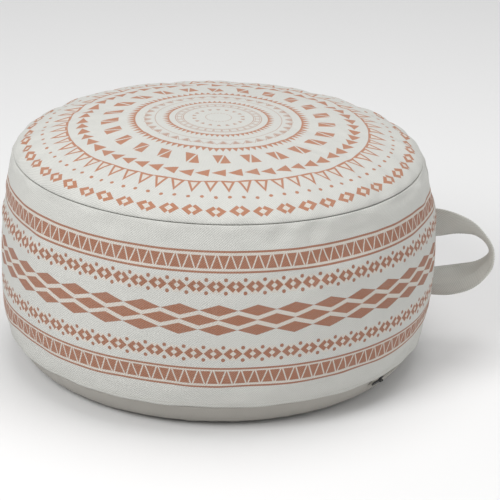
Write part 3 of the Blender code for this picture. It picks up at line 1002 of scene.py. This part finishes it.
def strap_frames():
    """Middle line of the strap's loop, with the way across it and the way out of it at each step."""
    turn = np.linspace(0.0, math.pi, STRAP_STEPS + 1)
    middle = (STRAP_TOP + STRAP_FOOT) / 2
    half = (STRAP_TOP - STRAP_FOOT) / 2
    reach = np.sin(turn) ** 0.85
    out_from_join = (STRAP_REACH + STRAP_SUNK) * reach - STRAP_SUNK
    fall = 0.88 * np.cos(turn) + 0.12 * np.cos(turn) ** 3
    line = np.stack([STRAP_ROOT + out_from_join, 0 * turn, middle + half * fall], -1)
    along = np.gradient(line, axis=0)
    along /= np.linalg.norm(along, axis=1, keepdims=True)
    twist = turn + 0.20 * np.sin(2.0 * turn)
    across = np.stack([0 * turn, -np.sin(twist), np.cos(twist)], -1)
    across -= along * (across * along).sum(1, keepdims=True)
    across /= np.linalg.norm(across, axis=1, keepdims=True)
    return line, across, np.cross(across, along)


def strap_section():
    """Across the folded strap: (place across, height, cloth place), once round it."""
    half = STRAP_WIDTH / 2
    points = []
    for u in np.linspace(-1.0, 1.0, 15):
        points.append((u * half, 0.0016 - 0.0009 * abs(u) ** 6, u * half))
    for u in np.linspace(1.0, -1.0, 15):
        points.append((u * half, -0.0016 + 0.0009 * abs(u) ** 6, (2 - u) * half))
    return points


def make_strap():
    line, across, out = strap_frames()
    rows = []
    marks = []
    travelled = measured(line)
    for i in range(STRAP_STEPS + 1):
        share = i / STRAP_STEPS
        cup = STRAP_CUP * math.sin(math.pi * share)
        crease = 0.0016 * smooth(share, 0.5, 0.7)
        ring = []
        spots = []
        for u, h, cloth in strap_section():
            w = u / (STRAP_WIDTH / 2)
            bend = cup * (w * w - 0.4) - crease * math.exp(-((w - 0.15) / 0.16) ** 2)
            ripple = 0.0005 * math.sin(share * 31 + w * 2.0) * smooth(abs(w), 0.4, 1.0)
            ring.append(line[i] + across[i] * u + out[i] * (h + bend + ripple))
            spots.append((cloth, travelled[i]))
        ring.append(ring[0])
        spots.append((STRAP_WIDTH * 2, travelled[i]))
        rows.append(ring)
        marks.append(spots)
    thing = sheet_mesh("carry_strap", np.array(rows), np.array(marks))
    return baked(thing, ("SUBSURF", {"levels": 1, "render_levels": 1}))


strap = make_strap()
strap.data.materials.clear()
strap.data.materials.append(STRAP_CLOTH)
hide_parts("handle_strap")
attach(strap, "strap")


# ---------------------------------------------------------------- thread and zip teeth

def name_sockets(face):
    """What the tree of bars is given, and what it gives back."""
    face.new_socket(name="Line", in_out="INPUT", socket_type="NodeSocketGeometry")
    for label, value in (("Pitch", 0.003), ("Long", 0.002), ("Wide", 0.0006), ("High", 0.0005)):
        face.new_socket(name=label, in_out="INPUT", socket_type="NodeSocketFloat").default_value = value
    face.new_socket(name="Finish", in_out="INPUT", socket_type="NodeSocketMaterial")
    face.new_socket(name="Bars", in_out="OUTPUT", socket_type="NodeSocketGeometry")


def one_bar(nodes, link, given):
    """A rounded bar of the given size."""
    bar = nodes.new("GeometryNodeMeshUVSphere")
    bar.inputs["Segments"].default_value = 6
    bar.inputs["Rings"].default_value = 4
    bar.inputs["Radius"].default_value = 0.5
    size = nodes.new("ShaderNodeCombineXYZ")
    shaped = nodes.new("GeometryNodeTransform")
    for place, label in enumerate(("Long", "Wide", "High")):
        link(given.outputs[label], size.inputs[place])
    link(bar.outputs["Mesh"], shaped.inputs["Geometry"])
    link(size.outputs[0], shaped.inputs["Scale"])
    return shaped.outputs["Geometry"]


def lying_flat(nodes, link):
    """The turn that lays a bar along the line, with its back on the cloth."""
    along = nodes.new("GeometryNodeInputTangent")
    lying = nodes.new("FunctionNodeAlignRotationToVector")
    lying.axis = "X"
    out = nodes.new("GeometryNodeInputNamedAttribute")
    out.data_type = "FLOAT_VECTOR"
    out.inputs["Name"].default_value = "way_out"
    facing = nodes.new("FunctionNodeAlignRotationToVector")
    facing.axis = "Z"
    facing.pivot_axis = "X"
    link(along.outputs["Tangent"], lying.inputs["Vector"])
    link(lying.outputs["Rotation"], facing.inputs["Rotation"])
    link(out.outputs["Attribute"], facing.inputs["Vector"])
    return facing.outputs["Rotation"]


def repeated_along_tree():
    """Small rounded bars set one after another along a line, each lying flat on the cloth under it."""
    tree = bpy.data.node_groups.new("bars_along_line", "GeometryNodeTree")
    name_sockets(tree.interface)
    nodes, link = tree.nodes, tree.links.new
    given = nodes.new("NodeGroupInput")
    done = nodes.new("NodeGroupOutput")
    line = nodes.new("GeometryNodeMeshToCurve")
    spaced = nodes.new("GeometryNodeResampleCurve")
    spaced.mode = "LENGTH"
    placed = nodes.new("GeometryNodeInstanceOnPoints")
    real = nodes.new("GeometryNodeRealizeInstances")
    coated = nodes.new("GeometryNodeSetMaterial")
    link(given.outputs["Line"], line.inputs["Mesh"])
    link(line.outputs["Curve"], spaced.inputs["Curve"])
    link(given.outputs["Pitch"], spaced.inputs["Length"])
    link(spaced.outputs["Curve"], placed.inputs["Points"])
    link(one_bar(nodes, link, given), placed.inputs["Instance"])
    link(lying_flat(nodes, link), placed.inputs["Rotation"])
    link(placed.outputs["Instances"], real.inputs["Geometry"])
    link(real.outputs["Geometry"], coated.inputs["Geometry"])
    link(given.outputs["Finish"], coated.inputs["Material"])
    link(coated.outputs["Geometry"], done.inputs["Bars"])
    return tree


BARS = repeated_along_tree()


def bars_along(name, lines, material, pitch, size):
    """One plain mesh of bars that follow lines of (place, way out)."""
    points, ways, edges = [], [], []
    for places, outs in lines:
        first = len(points)
        points += [tuple(p) for p in places]
        ways += [tuple(w) for w in outs]
        edges += [(first + i, first + i + 1) for i in range(len(places) - 1)]
    mesh = bpy.data.meshes.new(name)
    mesh.from_pydata(points, edges, [])
    layer = mesh.attributes.new("way_out", "FLOAT_VECTOR", "POINT")
    layer.data.foreach_set("vector", np.array(ways).ravel())
    thing = bpy.data.objects.new(name, mesh)
    bpy.context.scene.collection.objects.link(thing)
    modifier = thing.modifiers.new("bars", "NODES")
    modifier.node_group = BARS
    values = {"Pitch": pitch, "Long": size[0], "Wide": size[1], "High": size[2], "Finish": material}
    for item in BARS.interface.items_tree:
        if item.in_out == "INPUT" and item.name in values:
            modifier[item.identifier] = values[item.name]
    return baked(thing)


STITCH_LIFT = 0.0001


def cover_row(distance, angles):
    """A line round the cover with its way out, for stitches to lie along."""
    marks = np.full_like(angles, distance)
    places = cover_places(marks, angles, -SWELL_AT(marks, angles) - STITCH_LIFT)
    return places, round_about(out_of_line(marks), angles)


def join_row(side):
    """A line down beside the band's join."""
    marks = np.linspace(TOP_SEAM + 0.006, BASE_SEAM - 0.007, 60)
    angles = np.full_like(marks, STRAP_ANGLE + side)
    places = cover_places(marks, angles, -SWELL_AT(marks, angles) - STITCH_LIFT)
    return places, round_about(out_of_line(marks), angles)


def zip_row(across, sunk, start, end):
    """A line beside the zip's middle: how far across from it, and how far sunk below the cloth."""
    angles = np.arange(start, end, 1.0)
    spots = np.tile(ZIP_CENTRE + ZIP_DOWN * across - ZIP_OUT * sunk, (len(angles), 1))
    ways = np.tile(ZIP_OUT, (len(angles), 1))
    return round_about(spots, angles), round_about(ways, angles)


def strap_row(place, face):
    """A line of stitches near one edge of the strap, on one of its faces."""
    line, across, out = strap_frames()
    steps = slice(3, STRAP_STEPS - 2)
    w = place / (STRAP_WIDTH / 2)
    share = np.linspace(0, 1, STRAP_STEPS + 1)
    cup = STRAP_CUP * np.sin(math.pi * share) * (w * w - 0.4)
    spots = line + across * place + out * (face * 0.0016 + cup)[:, None]
    return spots[steps], out[steps] * face


THREAD = nylon_thread()
round_angles = np.linspace(-270.0, 90.0, 721)
hem_stitches = bars_along("hem_stitches", [cover_row(BASE_SEAM - 0.0042, round_angles)], THREAD,
                          0.0036, (0.0027, 0.0006, 0.0005))
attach(hem_stitches, "cushion")
join_stitches = bars_along("join_stitches", [join_row(0.45), join_row(-0.45)], THREAD,
                           0.0034, (0.0025, 0.0006, 0.0005))
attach(join_stitches, "cushion")
strap_lines = [strap_row(edge, face) for edge in (-0.0155, 0.0155) for face in (-1, 1)]
strap_stitches = bars_along("strap_stitches", strap_lines, THREAD, 0.0034, (0.0025, 0.0006, 0.0005))
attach(strap_stitches, "strap")
teeth_rows = [zip_row(0.0018, 0.00065, ZIP_FROM, ZIP_TO)]
teeth_rows.append(zip_row(-0.0018, 0.00065, ZIP_FROM + 0.17, ZIP_TO))
zip_teeth = bars_along("zip_teeth", teeth_rows, NYLON, 0.0015, (0.0009, 0.0019, 0.0012))
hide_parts("zip_coil_upper", "zip_coil_lower")
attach(zip_teeth, "cushion")
tape_rows = [zip_row(0.0040, 0.0016, ZIP_FROM, ZIP_TO), zip_row(-0.0040, 0.0016, ZIP_FROM, ZIP_TO)]
tape_stitches = bars_along("tape_stitches", tape_rows, THREAD, 0.0036, (0.0026, 0.0005, 0.0005))
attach(tape_stitches, "cushion")


# ---------------------------------------------------------------- stage, light and camera

def plain_material(name, colour, roughness):
    material = bpy.data.materials.new(name)
    material.use_nodes = True
    shader = material.node_tree.nodes["Principled BSDF"]
    shader.inputs["Base Color"].default_value = (*colour, 1.0)
    shader.inputs["Roughness"].default_value = roughness
    return material


FLOOR_HALF = 9.0
FLOOR_LEVEL = -0.0005


def make_floor():
    mesh = bpy.data.meshes.new("studio_floor")
    sides = ((-1, -1), (1, -1), (1, 1), (-1, 1))
    corners = [(x * FLOOR_HALF, y * FLOOR_HALF, FLOOR_LEVEL) for x, y in sides]
    mesh.from_pydata(corners, [], [(0, 1, 2, 3)])
    floor = bpy.data.objects.new("studio_floor", mesh)
    bpy.context.scene.collection.objects.link(floor)
    mesh.materials.append(plain_material("pale_floor", (0.80, 0.80, 0.80), 0.9))


def soft_light(name, place, target, size, watts):
    lamp = bpy.data.lights.new(name, "AREA")
    lamp.shape = "DISK"
    lamp.size = size
    lamp.energy = watts
    thing = bpy.data.objects.new(name, lamp)
    thing.location = place
    way = Vector(target) - Vector(place)
    thing.rotation_euler = way.to_track_quat("-Z", "Y").to_euler()
    bpy.context.scene.collection.objects.link(thing)


def set_world(level):
    world = bpy.data.worlds.new("studio_air")
    world.use_nodes = True
    back = world.node_tree.nodes["Background"]
    back.inputs["Color"].default_value = (1.0, 1.0, 1.0, 1.0)
    back.inputs["Strength"].default_value = level
    bpy.context.scene.world = world


def set_camera():
    """A long lens in front of the cushion, looking slightly down at it."""
    away, high, side = 2.72967, 1.23489, 0.04341
    dip, roll, yaw = 0.385475, 0.023672, -0.001059
    focal_ratio = 4.8216
    ahead = Vector((math.sin(yaw) * math.cos(dip), math.cos(yaw) * math.cos(dip), -math.sin(dip)))
    right = Vector((math.cos(yaw), -math.sin(yaw), 0.0))
    up = right.cross(ahead)
    rolled_right = right * math.cos(roll) + up * math.sin(roll)
    rolled_up = up * math.cos(roll) - right * math.sin(roll)
    turn = Matrix((rolled_right, rolled_up, -ahead)).transposed().to_4x4()
    lens = bpy.data.cameras.new("camera")
    lens.sensor_width = 36.0
    lens.lens = focal_ratio * lens.sensor_width
    camera = bpy.data.objects.new("camera", lens)
    camera.matrix_world = Matrix.Translation((side, -away, high)) @ turn
    bpy.context.scene.collection.objects.link(camera)
    bpy.context.scene.camera = camera


bpy.context.scene.view_settings.view_transform = "Standard"
make_floor()
set_world(0.40)
soft_light("key_light", (-1.6, -1.9, 2.2), (0, 0, 0.15), 1.6, 55)
soft_light("top_light", (0.2, 0.2, 3.0), (0, 0, 0.2), 2.4, 44)
soft_light("side_light", (2.6, -0.7, 1.5), (0, 0, 0.15), 1.8, 15)
set_camera()
